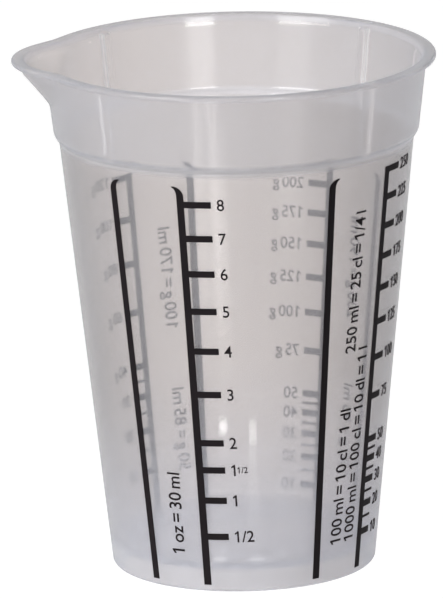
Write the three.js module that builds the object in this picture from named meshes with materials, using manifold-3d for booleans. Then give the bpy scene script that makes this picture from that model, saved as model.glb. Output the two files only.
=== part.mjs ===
// A translucent plastic measuring cup: one moulded beaker with a pouring spout, and the ink of its four
// printed scales. Millimetres, +Z up. The cup stands on z = 0 and its spout points along -X. The origin
// lies under the middle of the overall box, so the cup's own axis is a little to the +X side of it.
import * as THREE from "three";
import { mergeVertices } from "three/addons/utils/BufferGeometryUtils.js";
import Module from "manifold-3d";

const wasm = await Module();
wasm.setup();

// Tapered lower wall
const baseRadius = 27.0; // outer radius of the taper, carried down to the table
const wallTaper = 0.104; // growth of the radius for each millimetre of height
const wall = 1.0;
const heelRadius = 1.2;
const footWidth = 1.3; // flat ring that the cup stands on
const floorTop = 6.0;
const floorThickness = 1.6;
const floorFillet = 1.5;

// Collar above the shoulder
const shoulderHeight = 89.5; // where the taper ends
const shoulderRise = 2.3; // from there to the foot of the collar
const shoulderStep = 1.15; // how far the collar stands outside the taper
const shoulderRadius = 2.2;
const shoulderTurn = THREE.MathUtils.degToRad(55);
const collarTaper = 0.115;

// Rim
const cupHeight = 106.6;
const lipThickness = 1.05;
const lipOverhang = 2.0;
const lipFillet = 0.6;
const mouthRound = 0.6;
const mouthFlare = 0.25; // growth of the radius inside the mouth for each millimetre of height
const flareDepth = 2.1; // from the rim down to where that flare begins

// Pouring spout
const spoutRun = 4.7; // from the rim circle to the tip
const spoutNose = 19.0; // plan radius of the spout
const spoutRoot = 8.5; // depth of the spout's root under the lip
const spoutCrest = 1.6; // depth under the lip where the spout is fully drawn out
const spoutEase = 1.1;
const spoutBlend = 3.0; // reach of the smooth join between the spout and the collar

// Stacking ribs inside the collar
const ribCount = 4;
const ribStart = THREE.MathUtils.degToRad(45);
const ribWidth = 2.3;
const ribDepth = 0.9;
const ribRound = 0.7; // on the rib's two free edges
const ribHeadroom = 1.0; // from the rim down to the rib's top

// Printed scales
const inkClearance = 0.06;
const inkThickness = 0.12;
const printMargin = 0.4; // from the heel's curve up to the foot of the print
const fullMarkDrop = 3.1; // from the end of the taper down to the top mark
const backPrintDrop = 10.4; // how much shorter the two scales at the back are
const strokeWidth = 1.5;
const hookReach = 0.9; // how far a bent top leans over beside its stroke
const hookRise = 2.2; // height of that bend
const hookTip = 0.3; // thickness that is left at its tip
const tickThickness = 1.35;
const fineTickThickness = 0.5;
const fullVolume = 250; // millilitres at the top mark
const markPower = 0.665; // how the marks close up as the cup widens
const markDatum = -1.3; // height from which that law counts

const roundSegments = 80;
const arcDivisions = 2;
const spoutRows = 5;
const hookDivisions = 4;
const ribDivisions = 3;

const degrees = THREE.MathUtils.degToRad;
const lerp = THREE.MathUtils.lerp;
const clamp = THREE.MathUtils.clamp;

const collarFoot = shoulderHeight + shoulderRise;
const lipUnder = cupHeight - lipThickness;
const taperAt = (height) => baseRadius + wallTaper * height;
const collarAt = (height) => taperAt(shoulderHeight) + shoulderStep + collarTaper * (height - collarFoot);
const flareFoot = cupHeight - flareDepth;
const mouthAt = (height) => collarAt(flareFoot) - wall + mouthFlare * (height - flareFoot);
const rimRadius = collarAt(lipUnder) + lipOverhang;
const axisX = spoutRun / 2;
const fullMark = shoulderHeight - fullMarkDrop;
const printFoot = heelRadius + printMargin;
const frontPrintTop = fullMark + tickThickness / 2;
const backPrintTop = frontPrintTop - backPrintDrop;

function toSolid(geometry) {
  const bare = geometry.clone();
  bare.deleteAttribute("normal");
  bare.deleteAttribute("uv");
  const merged = mergeVertices(bare, 1e-4);
  const corners = merged.index.array;
  const triVerts = [];
  for (let i = 0; i < corners.length; i += 3) {
    const [a, b, c] = corners.slice(i, i + 3);
    if (a !== b && b !== c && c !== a) triVerts.push(a, b, c);
  }
  return new wasm.Manifold(
    new wasm.Mesh({
      numProp: 3,
      vertProperties: new Float32Array(merged.attributes.position.array),
      triVerts: new Uint32Array(triVerts),
    }),
  );
}

function toGeometry(solid) {
  const mesh = solid.getMesh();
  const geometry = new THREE.BufferGeometry();
  geometry.setAttribute("position", new THREE.BufferAttribute(mesh.vertProperties, 3));
  geometry.setIndex(new THREE.BufferAttribute(mesh.triVerts, 1));
  geometry.computeVertexNormals();
  return geometry;
}

// A profile in (radius, height) turned about the Z axis.
function turned(points) {
  return new THREE.LatheGeometry(points, roundSegments).rotateX(Math.PI / 2);
}

// Rows of a straight wall, close together where the spout is drawn out of it.
function wallRows(path, radiusAt, from, to) {
  for (let row = 0; row <= spoutRows; row++) {
    const height = lerp(from, to, row / spoutRows);
    path.lineTo(radiusAt(height), height);
  }
}

// The cup's section from the axis under the floor, round the outside and the lip, and back to the axis.
function cupProfile() {
  const taperTilt = Math.atan(wallTaper);
  const collarTilt = Math.atan(collarTaper);
  const innerTaperAt = (height) => taperAt(height) - wall;
  const innerCollarAt = (height) => collarAt(height) - wall;
  const heelX = taperAt(heelRadius) - heelRadius / Math.cos(taperTilt);
  const footInner = heelX - footWidth;
  const shoulderX = collarAt(collarFoot) - shoulderRadius / Math.cos(collarTilt);
  const innerShoulderRadius = shoulderRadius - wall;
  const floorX = innerTaperAt(floorTop + floorFillet) - floorFillet / Math.cos(taperTilt);
  const spoutFoot = lipUnder - spoutRoot;
  const flareTilt = Math.atan(mouthFlare);
  const roundZ = cupHeight - mouthRound;
  const roundX = mouthAt(roundZ + mouthRound * Math.sin(flareTilt)) + mouthRound * Math.cos(flareTilt);

  const path = new THREE.Path();
  path.moveTo(0, floorTop - floorThickness);
  path.lineTo(footInner, floorTop - floorThickness);
  path.lineTo(footInner, 0);
  path.absarc(heelX, heelRadius, heelRadius, -Math.PI / 2, -taperTilt, false);
  path.lineTo(taperAt(shoulderHeight), shoulderHeight);
  path.absarc(shoulderX, collarFoot, shoulderRadius, -shoulderTurn, -collarTilt, false);
  wallRows(path, collarAt, spoutFoot, lipUnder - lipFillet);
  path.absarc(collarAt(lipUnder) + lipFillet, lipUnder - lipFillet, lipFillet, Math.PI, Math.PI / 2, true);
  const edge = lipThickness / 2;
  path.absarc(rimRadius - edge, cupHeight - edge, edge, -Math.PI / 2, Math.PI / 2, false);
  path.absarc(roundX, roundZ, mouthRound, Math.PI / 2, Math.PI - flareTilt, false);
  wallRows(path, innerCollarAt, flareFoot, spoutFoot);
  path.absarc(shoulderX, collarFoot, innerShoulderRadius, -collarTilt, -shoulderTurn, true);
  path.lineTo(innerTaperAt(shoulderHeight + wall / 2), shoulderHeight + wall / 2);
  path.absarc(floorX, floorTop + floorFillet, floorFillet, -taperTilt, -Math.PI / 2, true);
  path.lineTo(0, floorTop);
  return path.getPoints(arcDivisions);
}

// How far the spout draws the wall outwards, at an angle from the spout's middle and a height. In plan the
// spout is a round nose that leans out of the collar, blended into it by a smooth maximum.
function spoutGrowth(angle, height) {
  const rise = clamp((height - lipUnder + spoutRoot) / (spoutRoot - spoutCrest), 0, 1);
  if (rise === 0) return 0;
  const plain = collarAt(Math.min(height, lipUnder));
  const centre = plain + spoutRun * Math.pow(rise, spoutEase) - spoutNose;
  const half = spoutNose ** 2 - (centre * Math.sin(angle)) ** 2;
  if (half < 0 || Math.cos(angle) < 0) return 0;
  const nose = centre * Math.cos(angle) + Math.sqrt(half);
  const blend = spoutBlend * rise;
  const overlap = Math.max(blend - Math.abs(nose - plain), 0) / blend;
  return Math.max(nose - plain, 0) + (overlap ** 3 * blend) / 6;
}

function drawSpout(geometry) {
  const position = geometry.attributes.position;
  for (let i = 0; i < position.count; i++) {
    const x = position.getX(i);
    const y = position.getY(i);
    const radius = Math.hypot(x, y);
    if (radius === 0) continue;
    const growth = spoutGrowth(Math.atan2(y, -x), position.getZ(i));
    const stretch = (radius + growth) / radius;
    position.setXY(i, x * stretch, y * stretch);
  }
  return geometry;
}

// One stacking rib: a bar with rounded edges against the inside of the collar, sunk half a wall deep so that
// it fuses.
function stackingRib(angle) {
  const foot = shoulderHeight + wall;
  const top = cupHeight - ribHeadroom;
  const middle = (foot + top) / 2;
  const half = ribWidth / 2;
  const roundX = ribRound - ribDepth - wall / 2;
  const section = new THREE.Shape();
  section.moveTo(0, -half);
  section.lineTo(0, half);
  section.absarc(roundX, half - ribRound, ribRound, Math.PI / 2, Math.PI, false);
  section.absarc(roundX, ribRound - half, ribRound, Math.PI, 1.5 * Math.PI, false);
  const options = { depth: top - foot, bevelEnabled: false, curveSegments: ribDivisions };
  const bar = new THREE.ExtrudeGeometry(section, options);
  bar.translate(0, 0, (foot - top) / 2);
  bar.rotateY(Math.atan(collarTaper));
  bar.translate(collarAt(middle) - wall / 2, 0, middle);
  return bar.rotateZ(angle);
}

function cupBody() {
  let solid = toSolid(drawSpout(turned(cupProfile())));
  for (let rib = 0; rib < ribCount; rib++) {
    const angle = ribStart + (rib * 2 * Math.PI) / ribCount;
    solid = solid.add(toSolid(stackingRib(angle)));
  }
  return toGeometry(solid);
}

// A thin cone just outside the tapered wall: the layer that the ink lies in.
function inkSleeve() {
  const inside = inkClearance;
  const outside = inkClearance + inkThickness;
  const section = [
    new THREE.Vector2(taperAt(heelRadius) + inside, heelRadius),
    new THREE.Vector2(taperAt(heelRadius) + outside, heelRadius),
    new THREE.Vector2(taperAt(shoulderHeight) + outside, shoulderHeight),
    new THREE.Vector2(taperAt(shoulderHeight) + inside, shoulderHeight),
  ];
  return toSolid(turned([...section, section[0]]));
}

// Height of the mark for a volume in millilitres.
function markHeight(volume) {
  return markDatum + (fullMark - markDatum) * (volume / fullVolume) ** markPower;
}

// A stroke with its top bent over to a thin tip on the right (hand 1) or the left (hand -1), or cut square
// (hand 0).
function stroke(top, hand) {
  const half = strokeWidth / 2;
  if (hand === 0) return bar(-half, half, printFoot, top);
  const tipX = hand * (half + hookReach);
  const bendY = top - hookRise;
  const side = hand > 0 ? Math.PI : 0;
  const shape = new THREE.Shape();
  shape.moveTo(-hand * half, printFoot);
  shape.lineTo(-hand * half, bendY);
  shape.absellipse(tipX, bendY, strokeWidth + hookReach, hookRise, side, Math.PI / 2, hand > 0);
  shape.absellipse(tipX, bendY, hookReach, hookRise - hookTip, Math.PI / 2, side, hand < 0);
  shape.lineTo(hand * half, printFoot);
  return shape;
}

function bar(left, right, bottom, top) {
  const shape = new THREE.Shape();
  shape.moveTo(left, bottom);
  shape.lineTo(right, bottom);
  shape.lineTo(right, top);
  shape.lineTo(left, top);
  return shape;
}

function tick(height, thickness, sweep) {
  const end = taperAt(height) * Math.sin(sweep);
  return bar(0, end, height - thickness / 2, height + thickness / 2);
}

// Flat shapes pushed outwards through the sleeve at an azimuth (0 faces -Y, positive towards +X), turned by
// a small lean, leave their print on it.
function printed(shapes, azimuth, lean) {
  const outward = new THREE.Vector3(Math.sin(azimuth), -Math.cos(azimuth), 0);
  const right = new THREE.Vector3(Math.cos(azimuth), Math.sin(azimuth), 0);
  const up = new THREE.Vector3(0, 0, 1);
  const middle = (printFoot + frontPrintTop) / 2;
  const place = new THREE.Matrix4()
    .makeBasis(right, up, outward)
    .multiply(new THREE.Matrix4().makeTranslation(0, middle, 0))
    .multiply(new THREE.Matrix4().makeRotationZ(lean))
    .multiply(new THREE.Matrix4().makeTranslation(0, -middle, 0));
  const options = { depth: 2 * taperAt(shoulderHeight), bevelEnabled: false, curveSegments: hookDivisions };
  const solids = shapes.map((shape) => {
    const prism = new THREE.ExtrudeGeometry(shape, options);
    return toSolid(prism.applyMatrix4(place));
  });
  const stencil = solids.reduce((sum, solid) => sum.add(solid));
  return toGeometry(inkSleeve().intersect(stencil));
}

function steps(from, to, step) {
  const count = Math.round((from - to) / step) + 1;
  return Array.from({ length: count }, (_, i) => from - i * step);
}

// Each scale: the azimuth of its spine, the angles from there on to the ends of its ticks and back to its
// plain rule, its lean, which way the spine's top bends, the volume of one unit in millilitres, its marks and
// the finer marks between them.
const scales = [
  {
    name: "ounce",
    azimuth: degrees(-17.8),
    tickSweep: degrees(10.2),
    ruleSweep: degrees(25.3),
    lean: degrees(1.1),
    spineHand: -1,
    unit: 29.57,
    marks: [...steps(8, 2, 1), ...steps(1.5, 0.5, 0.5)],
    fineMarks: [],
    top: frontPrintTop,
  },
  {
    name: "millilitre",
    azimuth: degrees(57.4),
    tickSweep: degrees(7.8),
    ruleSweep: degrees(25.3),
    lean: 0,
    spineHand: 0,
    unit: 1,
    marks: [...steps(250, 50, 25), ...steps(40, 10, 10)],
    fineMarks: steps(45, 15, 10),
    top: frontPrintTop,
  },
  {
    name: "sugar",
    azimuth: degrees(145.8),
    tickSweep: degrees(8.4),
    ruleSweep: degrees(24.2),
    lean: 0,
    spineHand: 0,
    unit: 0.954,
    marks: [...steps(200, 50, 25), ...steps(40, 10, 10)],
    fineMarks: steps(45, 15, 10),
    top: backPrintTop,
  },
  {
    name: "flour",
    azimuth: degrees(-139.2),
    tickSweep: degrees(8.2),
    ruleSweep: degrees(24.2),
    lean: 0,
    spineHand: -1,
    unit: 1.69,
    marks: [...steps(120, 40, 20), ...steps(30, 10, 10)],
    fineMarks: steps(35, 15, 10),
    top: backPrintTop,
  },
];

function scaleComb(scale) {
  const tickAt = (mark, thickness) => tick(markHeight(mark * scale.unit), thickness, scale.tickSweep);
  const marks = scale.marks.map((mark) => tickAt(mark, tickThickness));
  const fineMarks = scale.fineMarks.map((mark) => tickAt(mark, fineTickThickness));
  const spine = stroke(scale.top, scale.spineHand);
  return printed([spine, ...marks, ...fineMarks], scale.azimuth, scale.lean);
}

function scaleRule(scale) {
  return printed([stroke(scale.top, 1)], scale.azimuth - scale.ruleSweep, scale.lean);
}

const milkyPlastic = new THREE.MeshStandardMaterial({
  color: 0xd8d4d8,
  roughness: 0.3,
  metalness: 0,
  transparent: true,
  opacity: 0.55,
});
const blackInk = new THREE.MeshStandardMaterial({ color: 0x1d181b, roughness: 0.55, metalness: 0 });

function piece(name, geometry, material) {
  const mesh = new THREE.Mesh(geometry, material.clone());
  mesh.name = name;
  return mesh;
}

const cup = new THREE.Group();
cup.position.x = axisX;
cup.add(piece("cup_body", cupBody(), milkyPlastic));
for (const scale of scales) {
  cup.add(piece(`${scale.name}_scale`, scaleComb(scale), blackInk));
  cup.add(piece(`${scale.name}_rule`, scaleRule(scale), blackInk));
}

const part = new THREE.Group();
part.add(cup);
export default part;
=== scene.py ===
"""Looks of a translucent plastic measuring cup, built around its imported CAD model.

Metres, in the CAD frame: +Z up, the spout towards -X, the side that the camera sees towards -Y. One
Geometry Nodes tree turns the moulding from its section, draws out the spout and raises the stacking ribs.
The lines of the printed scales are the CAD's own nodes. The numbers beside them are flat text that a second
tree wraps round the wall.
"""
import math

import bmesh
import bpy
import numpy as np
from mathutils import Matrix, Vector


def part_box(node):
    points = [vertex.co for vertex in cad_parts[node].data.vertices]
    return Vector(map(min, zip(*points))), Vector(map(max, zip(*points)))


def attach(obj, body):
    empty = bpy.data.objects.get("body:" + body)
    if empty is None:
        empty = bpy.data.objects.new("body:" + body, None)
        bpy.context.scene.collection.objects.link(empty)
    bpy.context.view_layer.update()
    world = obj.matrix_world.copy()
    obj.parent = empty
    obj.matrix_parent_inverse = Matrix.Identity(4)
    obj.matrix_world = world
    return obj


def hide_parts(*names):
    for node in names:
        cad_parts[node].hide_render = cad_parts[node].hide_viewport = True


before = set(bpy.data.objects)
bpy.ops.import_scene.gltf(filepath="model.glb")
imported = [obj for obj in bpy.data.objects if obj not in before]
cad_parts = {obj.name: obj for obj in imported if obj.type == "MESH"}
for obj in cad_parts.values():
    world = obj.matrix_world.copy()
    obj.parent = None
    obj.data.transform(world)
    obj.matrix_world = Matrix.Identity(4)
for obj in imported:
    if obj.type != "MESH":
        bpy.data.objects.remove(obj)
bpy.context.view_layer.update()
cup_low, cup_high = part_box("cup_body")

# The moulding, as the CAD has it. A taper or a flare is the growth of the radius over the height.
RIM_RADIUS = (cup_high.y - cup_low.y) / 2
AXIS_X = cup_high.x - RIM_RADIUS
CUP_HEIGHT = cup_high.z
BASE_RADIUS = 0.0270
WALL_TAPER = 0.104
WALL = 0.0010
HEEL_RADIUS = 0.0012
FOOT_WIDTH = 0.0013
FLOOR_TOP = 0.0060
FLOOR_THICKNESS = 0.0016
FLOOR_FILLET = 0.0015
SHOULDER_HEIGHT = 0.0895
SHOULDER_RISE = 0.0023
SHOULDER_STEP = 0.00115
SHOULDER_RADIUS = 0.0022
SHOULDER_TURN = math.radians(55)
COLLAR_TAPER = 0.115
LIP_THICKNESS = 0.00105
LIP_FILLET = 0.0006
MOUTH_ROUND = 0.0006
MOUTH_FLARE = 0.25
FLARE_DEPTH = 0.0021
RIB_COUNT = 4
RIB_WIDTH = 0.0023
RIB_DEPTH = 0.0009
RIB_HEADROOM = 0.0010
SPOUT_RUN = 2 * AXIS_X  # the spout's reach past the rim, because the origin is in the middle of the whole
SPOUT_NOSE = 0.0190
SPOUT_ROOT = 0.0085
SPOUT_CREST = 0.0016
SPOUT_EASE = 1.1  # the power by which the spout leans out over its height
SPOUT_BLEND = 0.0030

# Heights and tilts that follow
COLLAR_FOOT = SHOULDER_HEIGHT + SHOULDER_RISE
INNER_CORNER = SHOULDER_HEIGHT + WALL / 2
LIP_UNDER = CUP_HEIGHT - LIP_THICKNESS
FLARE_FOOT = CUP_HEIGHT - FLARE_DEPTH
RIB_TOP = CUP_HEIGHT - RIB_HEADROOM
TAPER_TILT = math.atan(WALL_TAPER)
COLLAR_TILT = math.atan(COLLAR_TAPER)
FLARE_TILT = math.atan(MOUTH_FLARE)
QUARTER = math.pi / 2

# Rounding that only the looks have
FOOT_FILLET = 0.0005
FOOT_EDGE = 0.00025
SHOULDER_SOFTENING = 0.0009
RIB_FLANK = 0.0009

# How finely the moulding is divided
TURN_SEGMENTS = 416
ARC_STEPS = 8
WALL_PITCH = 0.0030
COLLAR_PITCH = 0.0006
END_ROW = 0.00025  # from each end of a straight stretch to the row that keeps its shading flat
COLUMN_GATHER = 0.6  # how much closer the columns stand at the ribs
MERGE_DISTANCE = 1e-6
TINY = 1e-7  # the longest length that counts as none

# How thick the moulding looks beside its plain wall, from 0 to 1
FOOT_SHARE = 0.75
FOOT_MARGIN = 0.0020  # how far the foot shades off into the wall
LOW_WALL_SHARE = 0.65
LOW_WALL = 0.0350  # below this the wall grows thicker
SHOULDER_BAND = 0.0022
COLLAR_SHARE = 0.5
INSIDE_SHARE = 0.25  # of the collar's and the shoulder's thickness, on their inside
LIP_SHARE = 0.5
LIP_MARGIN = 0.0008

# A painted highlight round the shoulder's edge, beside the one on the ribs' flanks
GLEAM_SHARE = 0.38  # of the gleam on the ribs' flanks
GLEAM_RISE = 0.0006  # from the end of the taper up to the gleam
GLEAM_BAND = 0.0012

# The print
INK_LIFT = 0.00006
INK_THICKNESS = 0.00008
DIGIT_HEIGHT = 0.0024
SMALL_DIGIT_HEIGHT = 0.0013
UNIT_HEIGHT = 0.0028
UNIT_COLUMN = -0.0063  # from a scale's spine to the line of units beside its rule
NUMBER_GAP = 0.0011
HALF_SHIFT = 0.0013  # from a 1 to the small 1/2 after it
BOLDNESS = 0.010  # widening of the strokes, as a share of a digit's height
LETTER_WIDTH = 0.95
LETTER_STEPS = 4  # divisions of a letter's curves
WORD_SPACE = 0.6
FLAG_REACH = 0.20  # of a 1's slanted stroke, as shares of a digit's height
FLAG_DROP = 0.16

# The heights of the marks for volumes in millilitres, and what an ounce and a gram measure in them
FULL_MARK = 0.0864
FULL_VOLUME = 250
MARK_POWER = 0.665
MARK_DATUM = -0.0013
PRINT_MIDDLE = 0.0443  # the height about which a print leans
OUNCE = 29.57
SUGAR_GRAM = 0.954
FLOUR_GRAM = 1.69

# The plastic's colours. Haze is the share of light that scatters in it: plain haze everywhere, and more by
# each of the others.
CLEAR_COLOUR = (0.97, 0.955, 0.945)
ASLANT_COLOUR = (0.45, 0.445, 0.445)
CLOUD_COLOUR = (0.84, 0.88, 0.96)
# The gleam's white colour and extra haze paint highlights along the ribs' flanks and round the shoulder
GLEAM_COLOUR = (1, 1, 1)
SHADOW_TINT = (0.80, 0.79, 0.80)
PLAIN_HAZE = 0.10
THICK_HAZE = 0.42
GLEAM_HAZE = 0.85
ASLANT_HAZE = 0.07
CLOUD_HAZE = 0.03
FLOW_HAZE = 0.02
GRAIN_HAZE = 0.16
PLASTIC_ROUGHNESS = 0.05
FLOW_ROUGHNESS = 0.04

# The ink's colours and finish
INK_COLOURS = ((0.012, 0.009, 0.011), (0.024, 0.018, 0.021))
INK_ROUGHNESS = 0.45
GRAIN_ROUGHNESS = 0.2
BUMP_DEPTH = 0.00005  # of the plastic's ripple too

# The camera, fitted to the photograph
CAMERA_DISTANCE = 1.98
CAMERA_ELEVATION = math.radians(14.034)
CAMERA_ROLL = math.radians(-1.089)
CAMERA_TARGET = Vector((AXIS_X - 0.003707, 0, 0.05498))
FOCAL_PIXELS = 9640.6
FRAME_HEIGHT = 599
SENSOR = 36

# The surroundings, with their brightness as shares of white
BACKDROP = 0.73  # through the cup
BACKDROP_COLOUR = (1.0, 0.90, 0.84)
MIRRORED = 0.45  # in reflections
FILL = 0.24  # as light on the cup from all round
TABLE_WHITE = 0.92  # the table's own glow to the camera
TABLE_SHADE = 0.25  # how much of the light on it the table scatters
TABLE_DROP = 0.14  # from the backdrop to the table, through the cup
FALLOFF = 0.12  # painted shade on the table through the cup, from the middle to the right
FALLOFF_HALF = 0.040
TABLE_BOUNCE = 0.45  # the table's painted glow for diffuse rays, which lights the cup as its bounce would
BOUNCE_REACH = 0.25
FLOOR_HALF = 3.0

# The key: its azimuth in degrees (0 in front, positive to the right), distance from the origin, height,
# width, length, radiance, and the height of the point over the origin that it faces
KEY = (-46, 1.3, 0.75, 0.9, 0.7, 5.8, 0.05)

# Lamps that are given in the same way, and only show as reflections and through the plastic
WINDOWS = {
    "window_left": (-38, 0.8, 0.24, 0.30, 0.44, 1.6, 0.1),
    "window_right": (22, 0.8, 0.09, 0.24, 0.16, 3.5, 0.1),
    "window_right_top": (22, 0.8, 0.33, 0.26, 0.30, 9.0, 0.1),
    "table_glint": (12, 0.8, 0.03, 0.13, 0.06, 3.0, 0.03),
}

# Small lamps on the table, which only show as reflections: azimuth in degrees, distance from the cup's
# axis, width, length and radiance
GLINTS = {
    "left_spot": (-12.8, 0.1020, 0.0090, 0.0050, 13.0),
    "right_spot": (7.2, 0.0990, 0.0080, 0.0090, 6.0),
    "right_streak": (6.6, 0.0700, 0.0080, 0.0480, 1.0),
    "left_floor_spot": (-14.2, 0.0410, 0.0052, 0.0016, 6.0),
    "right_floor_spot": (7.7, 0.0410, 0.0052, 0.0016, 6.0),
}
GLINT_LIFT = 0.0003


def taper_at(height):
    """Radius of the wall's outside below the shoulder."""
    return BASE_RADIUS + WALL_TAPER * height


def collar_at(height):
    """Radius of the collar's outside."""
    return taper_at(SHOULDER_HEIGHT) + SHOULDER_STEP + COLLAR_TAPER * (height - COLLAR_FOOT)


def inside_at(height):
    """Radius inside the collar, with the mouth's flare."""
    return collar_at(min(height, FLARE_FOOT)) - WALL + MOUTH_FLARE * max(height - FLARE_FOOT, 0)


class Field:
    """A socket that takes part in arithmetic: each step adds one Math node to the socket's tree."""

    def __init__(self, tree, socket):
        self.tree = tree
        self.socket = socket

    def math(self, operation, *others):
        node = self.tree.nodes.new("ShaderNodeMath")
        node.operation = operation
        for place, value in enumerate((self, *others)):
            feed(self.tree, node.inputs[place], value)
        return Field(self.tree, node.outputs[0])

    def __add__(self, other):
        return self.math("ADD", other)

    def __sub__(self, other):
        return self.math("SUBTRACT", other)

    def __rsub__(self, other):
        return self.math("MULTIPLY_ADD", -1, other)

    def __mul__(self, other):
        return self.math("MULTIPLY", other)

    def __truediv__(self, other):
        return self.math("DIVIDE", other)

    def __pow__(self, other):
        return self.math("POWER", other)

    def above(self, other):
        """1 where this is more than another, else 0."""
        return self.math("GREATER_THAN", other)

    def below(self, other):
        """1 where this is less than another, else 0."""
        return self.math("LESS_THAN", other)

    def at_least(self, other):
        return self.math("MAXIMUM", other)

    def at_most(self, other):
        return self.math("MINIMUM", other)

    def share(self):
        """This, kept between 0 and 1 in two steps."""
        return self.at_least(0).at_most(1)


def feed(tree, socket, value):
    """Links a field to an input, or sets the input to a plain value."""
    if isinstance(value, Field):
        tree.links.new(value.socket, socket)
    else:
        socket.default_value = value


def add_node(tree, kind, settings=None, **inputs):
    """A new node with its settings and inputs filled in. An input's name has _ for each space."""
    node = tree.nodes.new(kind)
    for name, value in (settings or {}).items():
        setattr(node, name, value)
    for name, value in inputs.items():
        feed(tree, node.inputs[name.replace("_", " ")], value)
    return node


def out(tree, node, name=0):
    """A node's output, by name or number."""
    return Field(tree, node.outputs[name])


def split(tree, vector):
    """The three components of a vector."""
    node = add_node(tree, "ShaderNodeSeparateXYZ", Vector=vector)
    return [Field(tree, socket) for socket in node.outputs]


def new_tree(name, sizes):
    """A Geometry Nodes tree with a geometry input and one number input for each named size."""
    tree = bpy.data.node_groups.new(name, "GeometryNodeTree")
    tree.interface.new_socket("Geometry", in_out="INPUT", socket_type="NodeSocketGeometry")
    tree.interface.new_socket("Geometry", in_out="OUTPUT", socket_type="NodeSocketGeometry")
    for size, value in sizes.items():
        kind = "NodeSocketInt" if isinstance(value, int) else "NodeSocketFloat"
        tree.interface.new_socket(size, in_out="INPUT", socket_type=kind)
    group = tree.nodes.new("NodeGroupInput")
    return tree, {socket.name: Field(tree, socket) for socket in group.outputs if socket.name}


def end_tree(tree, geometry, material):
    """Closes a tree: real geometry, merged seams, smooth shading and its material."""
    real = add_node(tree, "GeometryNodeRealizeInstances", Geometry=geometry)
    merged = add_node(
        tree, "GeometryNodeMergeByDistance", Geometry=out(tree, real), Distance=MERGE_DISTANCE,
    )
    smooth = add_node(tree, "GeometryNodeSetShadeSmooth", Geometry=out(tree, merged))
    coated = add_node(tree, "GeometryNodeSetMaterial", Geometry=out(tree, smooth), Material=material)
    end = tree.nodes.new("NodeGroupOutput")
    feed(tree, end.inputs[0], out(tree, coated))


def shaped(name, mesh, tree, sizes):
    """The plain mesh piece that a tree makes of a mesh, with the tree's inputs set from sizes."""
    piece = bpy.data.objects.new(name, mesh)
    bpy.context.scene.collection.objects.link(piece)
    modifier = piece.modifiers.new(tree.name, "NODES")
    modifier.node_group = tree
    for item in tree.interface.items_tree:
        if item.name in sizes:
            modifier[item.identifier] = sizes[item.name]
    made = piece.evaluated_get(bpy.context.evaluated_depsgraph_get())
    result = bpy.data.meshes.new_from_object(made)
    piece.modifiers.remove(modifier)
    piece.data = result
    result.name = name
    turn_faces_out(result)
    return piece


def turn_faces_out(mesh):
    """Turns every face of a closed mesh to point outwards."""
    solid = bmesh.new()
    solid.from_mesh(mesh)
    bmesh.ops.recalc_face_normals(solid, faces=solid.faces)
    solid.to_mesh(mesh)
    solid.free()


def arc(x, z, radius, start, end):
    """Points of an arc of the section about (x, z)."""
    angles = np.linspace(start, end, ARC_STEPS + 1)
    return [(x + radius * math.cos(a), z + radius * math.sin(a)) for a in angles]


def straight(start, end, pitch):
    """Points of a straight stretch of the section, with rows close to both ends of a long one."""
    length = math.dist(start, end)
    steps = max(round(length / pitch), 1)
    shares = {0, 1, *np.linspace(0, 1, steps + 1)}
    if length > 4 * END_ROW:
        shares |= {END_ROW / length, 1 - END_ROW / length}
    return [tuple(np.add(start, np.subtract(end, start) * share)) for share in sorted(shares)]


def bend(start, corner, end):
    """Points of a soft bend that leaves a corner of the section out."""
    start, corner, end = np.array((start, corner, end))
    shares = np.linspace(0, 1, ARC_STEPS + 1)[:, None]
    points = (1 - shares) ** 2 * start + 2 * shares * (1 - shares) * corner + shares ** 2 * end
    return [tuple(point) for point in points]


def towards(point, other, distance):
    """The place at a distance from a point, on the way to another."""
    return tuple(np.add(point, np.subtract(other, point) * (distance / math.dist(point, other))))


def shoulder_arc(radius, start, end):
    """Points of the shoulder's turn. Its outside and its inside have the same centre."""
    centre = collar_at(COLLAR_FOOT) - SHOULDER_RADIUS / math.cos(COLLAR_TILT)
    return arc(centre, COLLAR_FOOT, radius, start, end)


def outside_section():
    """The section's outside, from the axis under the floor, round the foot and up to the lip's edge."""
    under = FLOOR_TOP - FLOOR_THICKNESS
    heel_x = taper_at(HEEL_RADIUS) - HEEL_RADIUS / math.cos(TAPER_TILT)
    foot_x = heel_x - FOOT_WIDTH
    corner = (taper_at(SHOULDER_HEIGHT), SHOULDER_HEIGHT)
    lip_root = (collar_at(LIP_UNDER) + LIP_FILLET, LIP_UNDER - LIP_FILLET)
    lip_edge = LIP_THICKNESS / 2

    foot_inside = arc(foot_x - FOOT_FILLET, under - FOOT_FILLET, FOOT_FILLET, QUARTER, 0)
    foot_edge = arc(foot_x + FOOT_EDGE, FOOT_EDGE, FOOT_EDGE, 2 * QUARTER, 3 * QUARTER)
    heel = arc(heel_x, HEEL_RADIUS, HEEL_RADIUS, -QUARTER, -TAPER_TILT)
    shoulder = shoulder_arc(SHOULDER_RADIUS, -SHOULDER_TURN, -COLLAR_TILT)
    under_shoulder = bend(towards(corner, heel[-1], SHOULDER_SOFTENING), corner, shoulder[0])
    under_lip = arc(*lip_root, LIP_FILLET, 2 * QUARTER, QUARTER)
    edge = arc(RIM_RADIUS - lip_edge, CUP_HEIGHT - lip_edge, lip_edge, -QUARTER, QUARTER)
    return [
        *straight((0, under), foot_inside[0], WALL_PITCH), *foot_inside,
        *straight(foot_inside[-1], foot_edge[0], WALL_PITCH), *foot_edge,
        *straight(foot_edge[-1], heel[0], WALL_PITCH), *heel,
        *straight(heel[-1], under_shoulder[0], WALL_PITCH), *under_shoulder, *shoulder,
        *straight(shoulder[-1], under_lip[0], COLLAR_PITCH), *under_lip,
        *straight(under_lip[-1], edge[0], COLLAR_PITCH), *edge,
    ]


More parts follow.
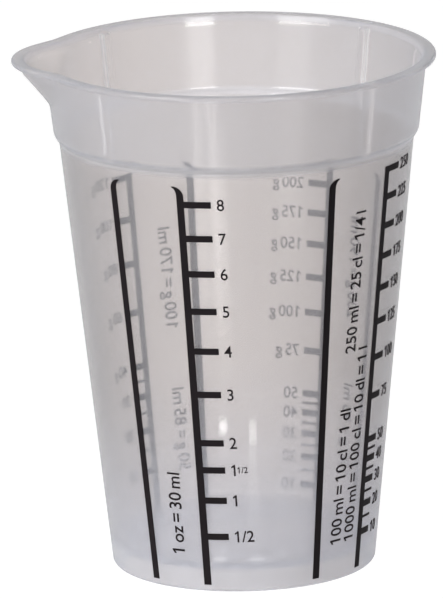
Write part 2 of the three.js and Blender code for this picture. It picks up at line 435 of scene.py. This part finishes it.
def inside_section():
    """The section's inside, from the mouth's rounding down the collar and the wall to the floor's middle."""
    mouth_z = CUP_HEIGHT - MOUTH_ROUND
    mouth_edge = inside_at(mouth_z + MOUTH_ROUND * math.sin(FLARE_TILT))
    mouth_x = mouth_edge + MOUTH_ROUND * math.cos(FLARE_TILT)
    floor_z = FLOOR_TOP + FLOOR_FILLET
    floor_x = taper_at(floor_z) - WALL - FLOOR_FILLET / math.cos(TAPER_TILT)
    corner = (taper_at(INNER_CORNER) - WALL, INNER_CORNER)
    rib_end = (inside_at(RIB_TOP), RIB_TOP)
    flare_end = (inside_at(FLARE_FOOT), FLARE_FOOT)

    mouth = arc(mouth_x, mouth_z, MOUTH_ROUND, QUARTER, 2 * QUARTER - FLARE_TILT)
    ledge = shoulder_arc(SHOULDER_RADIUS - WALL, -COLLAR_TILT, -SHOULDER_TURN)
    floor_edge = arc(floor_x, floor_z, FLOOR_FILLET, -TAPER_TILT, -QUARTER)
    under_ledge = bend(ledge[-1], corner, towards(corner, floor_edge[0], SHOULDER_SOFTENING))
    return [
        *mouth,
        *straight(mouth[-1], rib_end, COLLAR_PITCH),
        *straight(rib_end, flare_end, COLLAR_PITCH),
        *straight(flare_end, ledge[0], COLLAR_PITCH), *ledge, *under_ledge,
        *straight(under_ledge[-1], floor_edge[0], WALL_PITCH), *floor_edge,
        *straight(floor_edge[-1], (0, FLOOR_TOP), WALL_PITCH),
    ]


def rib_relief(radius, height):
    """How far a stacking rib stands out of the inside, at a point of the section. Its top row stays flush, so
    that it ends in a slope one row long."""
    if not INNER_CORNER < height < RIB_TOP - END_ROW / 2:
        return 0.0
    rib_face = collar_at(height) - WALL - RIB_DEPTH
    return min(max(radius - rib_face, 0), inside_at(height) - rib_face)


def cup_section():
    """The moulding's section, from the axis under the floor, round the outside and the lip, to the floor's
    middle. Each point is (radius, height, how far a stacking rib stands out there)."""
    outside = outside_section()
    inside = inside_section()
    lip_top = straight(outside[-1], inside[0], COLLAR_PITCH)
    section = [(radius, height, 0.0) for radius, height in (*outside, *lip_top)]
    section += [(radius, height, rib_relief(radius, height)) for radius, height in inside]
    distinct = [section[0]]
    for point in section[1:]:
        if math.dist(point[:2], distinct[-1][:2]) > TINY:
            distinct.append(point)
    return distinct


def top_row():
    """The section's last row on top of the lip, where its outside ends."""
    return max(row for row, point in enumerate(cup_section()) if point[1] > CUP_HEIGHT - TINY)


def section_mesh():
    """The section as a chain of points (radius, rib relief, height) for the tree to turn."""
    points = [(radius, relief, height) for radius, height, relief in cup_section()]
    chain = [(i, i + 1) for i in range(len(points) - 1)]
    mesh = bpy.data.meshes.new("cup_section")
    mesh.from_pydata(points, chain, [])
    return mesh


CUP_SIZES = {
    "Segments": TURN_SEGMENTS,
    "Column gather": COLUMN_GATHER,
    "Top row": top_row(),
    "Axis X": AXIS_X,
    "Collar radius": collar_at(COLLAR_FOOT),
    "Collar foot": COLLAR_FOOT,
    "Collar taper": COLLAR_TAPER,
    "Lip under": LIP_UNDER,
    "Spout run": SPOUT_RUN,
    "Spout nose": SPOUT_NOSE,
    "Spout root": SPOUT_ROOT,
    "Spout crest": SPOUT_CREST,
    "Spout ease": SPOUT_EASE,
    "Spout blend": SPOUT_BLEND,
    "Rib count": RIB_COUNT,
    "Rib width": RIB_WIDTH,
    "Rib flank": RIB_FLANK,
    "Floor top": FLOOR_TOP,
    "Foot margin": FOOT_MARGIN,
    "Low wall": LOW_WALL,
    "Shoulder middle": SHOULDER_HEIGHT + SHOULDER_RISE / 2,
    "Shoulder band": SHOULDER_BAND,
    "Lip margin": LIP_MARGIN,
    "Gleam height": SHOULDER_HEIGHT + GLEAM_RISE,
    "Gleam band": GLEAM_BAND,
}


def spout_growth(size, angle, height):
    """How far the spout draws the wall out, at an angle from the spout's middle and a height: a round nose
    in plan that leans out of the collar, joined to it by a smooth maximum."""
    root = size["Lip under"] - size["Spout root"]
    rise = ((height - root) / (size["Spout root"] - size["Spout crest"])).share()
    up_collar = height.at_most(size["Lip under"]) - size["Collar foot"]
    plain = size["Collar radius"] + size["Collar taper"] * up_collar
    centre = plain + size["Spout run"] * rise ** size["Spout ease"] - size["Spout nose"]
    across = centre * angle.math("SINE")
    half = size["Spout nose"] ** 2 - across * across
    nose = centre * angle.math("COSINE") + half.at_least(0).math("SQRT")
    blend = (size["Spout blend"] * rise).at_least(TINY)
    overlap = (blend - (nose - plain).math("ABSOLUTE")).at_least(0) / blend
    growth = (nose - plain).at_least(0) + overlap ** 3 * blend / 6
    return growth * rise.above(0) * half.above(0) * angle.math("COSINE").above(0)


def rib_share(size, angle, radius):
    """How much of a stacking rib's height stands at an angle: 1 on a rib's face, 0 between the ribs."""
    period = (size["Rib count"] / (2 * math.pi)) ** -1
    offset = (angle.math("FLOORED_MODULO", period) - period / 2).math("ABSOLUTE") * radius
    ramp = ((size["Rib width"] / 2 - offset) / size["Rib flank"] + 0.5).share()
    return ramp * ramp * (3 - ramp * 2)


def band(value, middle, half):
    """1 in the middle of a band, falling to 0 at its edges."""
    return (1 - (value - middle).math("ABSOLUTE") / half).share()


def plastic_thickness(size, outside, height):
    """How thick the moulding looks beside its plain wall, from 0 to 1: in the lip, the collar, the shoulder,
    the foot and the low wall."""
    sided = outside * (1 - INSIDE_SHARE) + INSIDE_SHARE
    lip = ((height - size["Lip under"]) / size["Lip margin"] + 1).share() * LIP_SHARE
    collar = height.above(size["Collar foot"]) * COLLAR_SHARE * sided
    shoulder = band(height, size["Shoulder middle"], size["Shoulder band"]) * sided
    foot = ((size["Floor top"] - height) / size["Foot margin"] + 1).share() * FOOT_SHARE
    low_wall = (size["Low wall"] - height) / size["Low wall"] * LOW_WALL_SHARE
    return lip.at_least(collar).at_least(shoulder).at_least(foot).at_least(low_wall)


def gathered_light(size, rib, outside, height):
    """Where highlights are painted into the plastic, from 0 to 1: along the ribs' flanks, and round the
    shoulder's outside.
    """
    ribbed = (height.above(size["Collar foot"]) - height.above(size["Lip under"])) * (1 - outside)
    flanks = rib * (1 - rib) * 4 * ribbed  # 1 halfway up a flank
    shoulder = band(height, size["Gleam height"], size["Gleam band"]) * outside * GLEAM_SHARE
    return flanks.at_least(shoulder)


def stored(tree, geometry, name, value):
    """The geometry with a value kept on its points, for its material to read."""
    settings = {"data_type": "FLOAT", "domain": "POINT"}
    return out(tree, add_node(
        tree, "GeometryNodeStoreNamedAttribute", settings, Geometry=geometry, Name=name, Value=value,
    ))


def turned_cup(material):
    """The tree that turns the section about the cup's axis, with the spout and the stacking ribs."""
    tree, size = new_tree("turned_cup", CUP_SIZES)
    section = size["Geometry"]
    rows = out(tree, add_node(tree, "GeometryNodeAttributeDomainSize", Geometry=section), "Point Count")
    columns = size["Segments"] + 1
    grid = add_node(tree, "GeometryNodeMeshGrid", Vertices_X=rows, Vertices_Y=columns)
    index = out(tree, tree.nodes.new("GeometryNodeInputIndex"))
    row = (index / columns).math("FLOOR")
    column = index - row * columns
    sample = add_node(
        tree, "GeometryNodeSampleIndex", {"data_type": "FLOAT_VECTOR"}, Geometry=section, Index=row,
        Value=out(tree, tree.nodes.new("GeometryNodeInputPosition")),
    )
    radius, relief, height = split(tree, out(tree, sample))
    turn = column / size["Segments"] * (2 * math.pi) - math.pi
    angle = turn + (turn * size["Rib count"]).math("SINE") * size["Column gather"] / size["Rib count"]
    rib = rib_share(size, angle, radius)
    radius = radius - relief * rib
    grown = radius + spout_growth(size, angle, height) * radius.above(TINY)
    place = add_node(
        tree, "ShaderNodeCombineXYZ",
        X=size["Axis X"] - grown * angle.math("COSINE"), Y=grown * angle.math("SINE"), Z=height,
    )
    moved = add_node(tree, "GeometryNodeSetPosition", Geometry=out(tree, grid), Position=out(tree, place))
    outside = row.below(size["Top row"])
    thick = stored(tree, out(tree, moved), "thick", plastic_thickness(size, outside, height))
    # Painted highlights along the ribs' flanks and round the shoulder, kept on the points for the material
    gleaming = stored(tree, thick, "gleam", gathered_light(size, rib, outside, height))
    end_tree(tree, gleaming, material)
    return tree


WRAP_SIZES = {
    "Azimuth": 0.0,
    "Lean": 0.0,
    "Middle": PRINT_MIDDLE,
    "Axis X": AXIS_X,
    "Base radius": BASE_RADIUS + INK_LIFT,
    "Taper": WALL_TAPER,
}


def wrapped_print(material):
    """The tree that wraps a flat print, (right, up, out), round the tapered wall at an azimuth."""
    tree, size = new_tree("wrapped_print", WRAP_SIZES)
    right, up, lift = split(tree, out(tree, tree.nodes.new("GeometryNodeInputPosition")))
    rise = up - size["Middle"]
    cosine = size["Lean"].math("COSINE")
    sine = size["Lean"].math("SINE")
    leaning = right * cosine - rise * sine
    height = size["Middle"] + right * sine + rise * cosine
    radius = size["Base radius"] + size["Taper"] * height
    angle = size["Azimuth"] + leaning / radius
    reach = radius + lift
    place = add_node(
        tree, "ShaderNodeCombineXYZ",
        X=size["Axis X"] + reach * angle.math("SINE"), Y=0 - reach * angle.math("COSINE"), Z=height,
    )
    moved = add_node(tree, "GeometryNodeSetPosition", Geometry=size["Geometry"], Position=out(tree, place))
    end_tree(tree, out(tree, moved), material)
    return tree


def mark_height(volume):
    """Height of the mark for a volume."""
    return MARK_DATUM + (FULL_MARK - MARK_DATUM) * (volume / FULL_VOLUME) ** MARK_POWER


def flat_text(words, size, weight):
    """A line of text as a thin solid, from (0, 0) to the right, its strokes widened by a weight."""
    curve = bpy.data.curves.new("lettering", "FONT")
    curve.body = words
    curve.size = size
    curve.offset = weight
    curve.extrude = INK_THICKNESS / 2
    curve.space_word = WORD_SPACE
    curve.resolution_u = LETTER_STEPS
    holder = bpy.data.objects.new("lettering", curve)
    bpy.context.scene.collection.objects.link(holder)
    made = holder.evaluated_get(bpy.context.evaluated_depsgraph_get())
    mesh = bpy.data.meshes.new_from_object(made)
    bpy.data.objects.remove(holder)
    mesh.transform(Matrix.Translation((0, 0, INK_THICKNESS / 2)))
    return mesh


def text_corners(words, size, weight):
    """The lowest and the highest corner of a line of text."""
    mesh = flat_text(words, size, weight)
    points = np.array([vertex.co for vertex in mesh.vertices])
    bpy.data.meshes.remove(mesh)
    return points.min(axis=0), points.max(axis=0)


def add_flag(line, right, stem, height):
    """The slanted stroke at the top of a 1, whose stem ends at right."""
    tip = right - stem - FLAG_REACH * height
    low = (1 - FLAG_DROP) * height
    root = right - stem / 2
    outline = [(root, height), (tip, low), (tip, low - stem), (root, height - stem)]
    layers = [[line.verts.new((x, y, z)) for x, y in outline] for z in (0, INK_THICKNESS)]
    for layer in layers:
        line.faces.new(layer)
    for corner in range(len(outline)):
        after = (corner + 1) % len(outline)
        line.faces.new((layers[0][corner], layers[0][after], layers[1][after], layers[1][corner]))


def lettering(words, height):
    """A line of text whose digits have the given height."""
    digit_low, digit_high = text_corners("0", 1, 0)
    size = height / (digit_high - digit_low)[1]
    weight = BOLDNESS * height
    mesh = flat_text(words, size, weight)
    line = bmesh.new()
    line.from_mesh(mesh)
    stem_low, stem_high = text_corners("1", size, weight)
    for place, letter in enumerate(words):
        if letter == "1":
            right = text_corners(words[:place + 1], size, weight)[1][0]
            add_flag(line, right, (stem_high - stem_low)[0], stem_high[1])
    line.to_mesh(mesh)
    line.free()
    return mesh


def print_panel(name, lines):
    """Joins lines of text, each (words, digit height, right, up, turn), into one flat print."""
    panel = bmesh.new()
    narrow = Matrix.Diagonal((LETTER_WIDTH, 1, 1, 1))
    for words, height, right, up, turn in lines:
        mesh = lettering(words, height)
        mesh.transform(Matrix.Translation((right, up, 0)) @ Matrix.Rotation(turn, 4, "Z") @ narrow)
        panel.from_mesh(mesh)
        bpy.data.meshes.remove(mesh)
    flat = bpy.data.meshes.new(name)
    panel.to_mesh(flat)
    panel.free()
    return flat


def beside_tick(words, volume, sweep, height=DIGIT_HEIGHT, gap=NUMBER_GAP):
    """A number level with the tick for a volume, a gap to the right of its end."""
    level = mark_height(volume)
    return words, height, taper_at(level) * sweep + gap, level - height / 2, 0


def upwards(words, up, right=UNIT_COLUMN):
    """A line of units that reads upwards."""
    return words, UNIT_HEIGHT, right, up, math.pi / 2


def ounce_lines(sweep):
    return [
        *(beside_tick(str(n), n * OUNCE, sweep) for n in range(2, 9)),
        *(beside_tick("1", n * OUNCE, sweep) for n in (1, 1.5)),
        beside_tick("1/2", OUNCE / 2, sweep),
        beside_tick("1/2", 1.5 * OUNCE, sweep, SMALL_DIGIT_HEIGHT, NUMBER_GAP + HALF_SHIFT),
        upwards("1 oz = 30 ml", up=0.0078, right=-0.0046),
    ]


def millilitre_lines(sweep):
    return [
        *(beside_tick(str(n), n, sweep) for n in (*range(250, 50, -25), *range(50, 0, -10))),
        upwards("100 ml = 10 cl = 1 dl", up=0.0080),
        upwards("250 ml = 25 cl = 1/4 l", up=0.0490),
        upwards("1000 ml = 100 cl = 10 dl = 1 l", up=0.0080, right=-0.0025),
    ]


def gram_numbers(sweep, gram, with_unit, plain):
    """The numbers of a scale of weights, the upper ones with their unit."""
    return [
        *(beside_tick(f"{n} g", n * gram, sweep) for n in with_unit),
        *(beside_tick(str(n), n * gram, sweep) for n in plain),
    ]


def sugar_lines(sweep):
    return [
        *gram_numbers(sweep, SUGAR_GRAM, range(200, 50, -25), range(50, 0, -10)),
        upwards("100 g = 95 ml", up=0.0120),
        upwards("200 g = 190 ml", up=0.0450),
    ]


def flour_lines(sweep):
    return [
        *gram_numbers(sweep, FLOUR_GRAM, range(120, 30, -20), range(30, 0, -10)),
        upwards("50 g = 85 ml", up=0.0120),
        upwards("100 g = 170 ml", up=0.0420),
    ]


# Each scale's text and, in degrees as in the CAD, the azimuth of its spine, its lean and the angle from the
# spine to the ends of its ticks
SCALE_TEXT = {
    "ounce_numbers": (ounce_lines, -17.8, 1.1, 10.2),
    "millilitre_numbers": (millilitre_lines, 57.4, 0, 7.8),
    "sugar_numbers": (sugar_lines, 145.8, 0, 8.4),
    "flour_numbers": (flour_lines, -139.2, 0, 8.2),
}


def new_material(name):
    """A material with an empty tree."""
    material = bpy.data.materials.new(name)
    material.use_nodes = True
    tree = material.node_tree
    tree.nodes.clear()
    return material, tree


def end_material(tree, shader):
    end = tree.nodes.new("ShaderNodeOutputMaterial")
    feed(tree, end.inputs["Surface"], shader)


def object_place(tree):
    return out(tree, tree.nodes.new("ShaderNodeTexCoord"), "Object")


def ray_is(tree, kind):
    """1 for rays of a kind, such as Camera or Shadow, else 0."""
    return out(tree, tree.nodes.new("ShaderNodeLightPath"), f"Is {kind} Ray")


def kept(tree, name):
    """A value that was kept on the mesh's points."""
    return out(tree, add_node(tree, "ShaderNodeAttribute", {"attribute_name": name}), "Fac")


def noise(tree, scale, stretch=(1, 1, 1), detail=3.0):
    """A cloudy pattern in object space, from 0 to 1, that may be drawn out along an axis."""
    mapping = add_node(tree, "ShaderNodeMapping", Vector=object_place(tree), Scale=stretch)
    texture = add_node(tree, "ShaderNodeTexNoise", Vector=out(tree, mapping), Scale=scale, Detail=detail)
    return out(tree, texture, "Fac")


def blended(tree, factor, first, second):
    """A colour between two, by a factor from 0 to 1."""
    node = add_node(tree, "ShaderNodeMix", {"data_type": "RGBA"}, Factor=factor)
    ends = [socket for socket in node.inputs if socket.type == "RGBA"]
    for socket, colour in zip(ends, (first, second)):
        socket.default_value = (*colour, 1)
    return Field(tree, next(socket for socket in node.outputs if socket.type == "RGBA"))


def mixed(tree, factor, first, second):
    """A shader between two, by a factor from 0 to 1."""
    node = tree.nodes.new("ShaderNodeMixShader")
    for socket, value in zip(node.inputs, (factor, first, second)):
        feed(tree, socket, value)
    return out(tree, node)


def milky_plastic():
    """Clouded polypropylene: most light passes, softly blurred, and the rest scatters in the wall, the more
    so where it is thick or seen aslant, and where a painted highlight makes it whiter. A fine grain breaks up
    a faint arc that smooth haze shows low on the wall. Shadow rays pass with a tint."""
    material, tree = new_material("milky_plastic")
    clouds = noise(tree, scale=55, detail=4.0)
    flow = noise(tree, scale=90, stretch=(1, 1, 0.18))
    ripple = noise(tree, scale=420, detail=2.0)
    normal = out(tree, add_node(tree, "ShaderNodeBump", Strength=0.05, Distance=BUMP_DEPTH, Height=ripple))
    thick = kept(tree, "thick")
    gleam = kept(tree, "gleam")
    facing = out(tree, add_node(tree, "ShaderNodeLayerWeight", Blend=0.5), "Facing")
    aslant = facing * (1 - thick)
    clear = add_node(
        tree, "ShaderNodeBsdfPrincipled",
        Base_Color=blended(tree, aslant, CLEAR_COLOUR, ASLANT_COLOUR),
        Roughness=flow * FLOW_ROUGHNESS + PLASTIC_ROUGHNESS, IOR=1.2, Transmission_Weight=1.0,
        Coat_Weight=1.0, Coat_Roughness=0.1, Coat_IOR=1.49, Normal=normal,
    )
    # Painted highlight: the plastic is whiter and hazier where the gleam lies
    cloud_colour = blended(tree, gleam, CLOUD_COLOUR, GLEAM_COLOUR)
    scattered = add_node(tree, "ShaderNodeBsdfDiffuse", Color=cloud_colour, Normal=normal)
    glowing = add_node(tree, "ShaderNodeBsdfTranslucent", Color=cloud_colour, Normal=normal)
    cloud = mixed(tree, 0.5, out(tree, scattered), out(tree, glowing))
    grain = out(tree, add_node(tree, "ShaderNodeTexWhiteNoise", Vector=object_place(tree)), "Value")
    uneven = (grain - 0.5) * GRAIN_HAZE + clouds * CLOUD_HAZE + flow * FLOW_HAZE
    haze = uneven + aslant * ASLANT_HAZE + thick * THICK_HAZE + gleam * GLEAM_HAZE + PLAIN_HAZE
    plastic = mixed(tree, haze, out(tree, clear), cloud)
    passing = add_node(tree, "ShaderNodeBsdfTransparent", Color=(*SHADOW_TINT, 1))
    end_material(tree, mixed(tree, ray_is(tree, "Shadow"), plastic, out(tree, passing)))
    return material


def black_ink():
    """Screen-printed ink: near black, satin, with a fine uneven surface."""
    material, tree = new_material("black_ink")
    grain = noise(tree, scale=900, detail=4.0)
    ramp = add_node(tree, "ShaderNodeValToRGB", Fac=noise(tree, scale=160))
    for stop, colour in zip(ramp.color_ramp.elements, INK_COLOURS):
        stop.color = (*colour, 1)
    bump = add_node(tree, "ShaderNodeBump", Strength=0.15, Distance=BUMP_DEPTH, Height=grain)
    ink = add_node(
        tree, "ShaderNodeBsdfPrincipled",
        Base_Color=out(tree, ramp), Roughness=grain * GRAIN_ROUGHNESS + INK_ROUGHNESS,
        Specular_IOR_Level=0.12, Normal=out(tree, bump),
    )
    end_material(tree, out(tree, ink))
    return material


def seen_as(tree, white, backdrop):
    """How bright the surroundings are for a ray from the camera, through the plastic or off a surface."""
    camera = ray_is(tree, "Camera") * white
    through = ray_is(tree, "Transmission") * backdrop
    mirrored = ray_is(tree, "Glossy") * MIRRORED
    return camera.at_least(through).at_least(mirrored)


def backdrop_colour(tree):
    """A little warm through the cup, and else white."""
    return blended(tree, ray_is(tree, "Transmission"), (1, 1, 1), BACKDROP_COLOUR)


def table_bounce(tree):
    """Painted light: the table's glow for diffuse rays, in place of the light it throws on the cup, brightest
    close to it.
    """
    distance = add_node(tree, "ShaderNodeVectorMath", {"operation": "LENGTH"}, Vector=object_place(tree))
    nearness = (1 - out(tree, distance, "Value") / BOUNCE_REACH).share()
    return nearness * ray_is(tree, "Diffuse") * TABLE_BOUNCE


def pale_floor():
    """A white table whose own shade stays light, so that only a soft shadow of the cup shows on it. Through
    the cup its glow carries painted shade, darker towards the right, away from the key."""
    material, tree = new_material("pale_floor")
    shade = add_node(tree, "ShaderNodeBsdfDiffuse", Color=(TABLE_SHADE, TABLE_SHADE, TABLE_SHADE, 1))
    across = split(tree, object_place(tree))[0]
    # Painted shade: the table's glow through the cup darkens towards the right
    falloff = (across / FALLOFF_HALF).at_least(-1).at_most(1) * FALLOFF
    strength = seen_as(tree, TABLE_WHITE, BACKDROP - TABLE_DROP - falloff).at_least(table_bounce(tree))
    glow = add_node(tree, "ShaderNodeEmission", Color=backdrop_colour(tree), Strength=strength)
    bright = tree.nodes.new("ShaderNodeAddShader")
    for socket, part in zip(bright.inputs, (shade, glow)):
        feed(tree, socket, out(tree, part))
    end_material(tree, out(tree, bright))
    return material


def lay_floor():
    mesh = bpy.data.meshes.new("floor")
    corners = [(x * FLOOR_HALF, y * FLOOR_HALF, 0) for x, y in ((-1, -1), (1, -1), (1, 1), (-1, 1))]
    mesh.from_pydata(corners, [], [(0, 1, 2, 3)])
    mesh.materials.append(pale_floor())
    floor = bpy.data.objects.new("floor", mesh)
    bpy.context.scene.collection.objects.link(floor)


def light_world():
    """Soft light from all round, with a background that is white to the camera."""
    world = bpy.data.worlds.new("studio")
    bpy.context.scene.world = world
    world.use_nodes = True
    tree = world.node_tree
    tree.nodes.clear()
    strength = seen_as(tree, 1.0, BACKDROP).at_least(FILL)
    background = add_node(tree, "ShaderNodeBackground", Color=backdrop_colour(tree), Strength=strength)
    end = tree.nodes.new("ShaderNodeOutputWorld")
    feed(tree, end.inputs["Surface"], out(tree, background))


def area_lamp(name, width, length, radiance):
    """A rectangular lamp with the same radiance at any size."""
    lamp = bpy.data.lights.new(name, "AREA")
    lamp.shape = "RECTANGLE"
    lamp.size = width
    lamp.size_y = length
    lamp.energy = radiance * math.pi * width * length
    holder = bpy.data.objects.new(name, lamp)
    bpy.context.scene.collection.objects.link(holder)
    return holder


def hang_lamp(name, azimuth, distance, height, width, length, radiance, aim):
    """A lamp that hangs at an azimuth and a height and faces a point over the origin."""
    lamp = area_lamp(name, width, length, radiance)
    turn = math.radians(azimuth)
    place = Vector((math.sin(turn) * distance, -math.cos(turn) * distance, height))
    lamp.location = place
    lamp.rotation_euler = (Vector((0, 0, aim)) - place).to_track_quat("-Z", "Y").to_euler()
    return lamp


def lay_glint(name, azimuth, distance, width, length, radiance):
    """A small lamp that lies on the table, faces up and only shows as a reflection."""
    lamp = area_lamp(name, width, length, radiance)
    turn = math.radians(azimuth)
    place = Vector((AXIS_X + math.sin(turn) * distance, -math.cos(turn) * distance, GLINT_LIFT))
    face_up = Matrix.Rotation(math.pi, 4, "X")
    lamp.matrix_world = Matrix.Translation(place) @ Matrix.Rotation(turn, 4, "Z") @ face_up
    lamp.visible_camera = False
    lamp.visible_diffuse = False
    lamp.visible_transmission = False


def light_studio():
    light_world()
    hang_lamp("key", *KEY)
    for name, measures in WINDOWS.items():
        hang_lamp(name, *measures).visible_diffuse = False
    for name, measures in GLINTS.items():
        lay_glint(name, *measures)


def place_camera():
    """A camera that looks at its target from the front and a little above, rolled as the photograph is."""
    lens = bpy.data.cameras.new("camera")
    lens.sensor_fit = "VERTICAL"
    lens.sensor_height = SENSOR
    lens.lens = FOCAL_PIXELS * SENSOR / FRAME_HEIGHT
    back = Vector((0, -math.cos(CAMERA_ELEVATION), math.sin(CAMERA_ELEVATION)))
    level = Vector((1, 0, 0))
    upright = back.cross(level)
    right = level * math.cos(CAMERA_ROLL) + upright * math.sin(CAMERA_ROLL)
    up = upright * math.cos(CAMERA_ROLL) - level * math.sin(CAMERA_ROLL)
    turn = Matrix((right, up, back)).transposed().to_4x4()
    camera = bpy.data.objects.new("camera", lens)
    camera.matrix_world = Matrix.Translation(CAMERA_TARGET + back * CAMERA_DISTANCE) @ turn
    bpy.context.scene.collection.objects.link(camera)
    bpy.context.scene.camera = camera


def mould_cup(plastic):
    cup = shaped("cup_shell", section_mesh(), turned_cup(plastic), CUP_SIZES)
    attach(cup, "root")
    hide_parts("cup_body")


def print_scales(ink):
    """Inks the CAD's line work and adds each scale's text."""
    for name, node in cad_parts.items():
        if name != "cup_body":
            node.data.materials.clear()
            node.data.materials.append(ink)
    tree = wrapped_print(ink)
    for name, (lines_for, *degrees) in SCALE_TEXT.items():
        azimuth, lean, tick_sweep = map(math.radians, degrees)
        sizes = {**WRAP_SIZES, "Azimuth": azimuth, "Lean": lean}
        numbers = shaped(name, print_panel(name, lines_for(tick_sweep)), tree, sizes)
        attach(numbers, "root")


bpy.context.scene.view_settings.view_transform = "Standard"
place_camera()
light_studio()
lay_floor()
mould_cup(milky_plastic())
print_scales(black_ink())
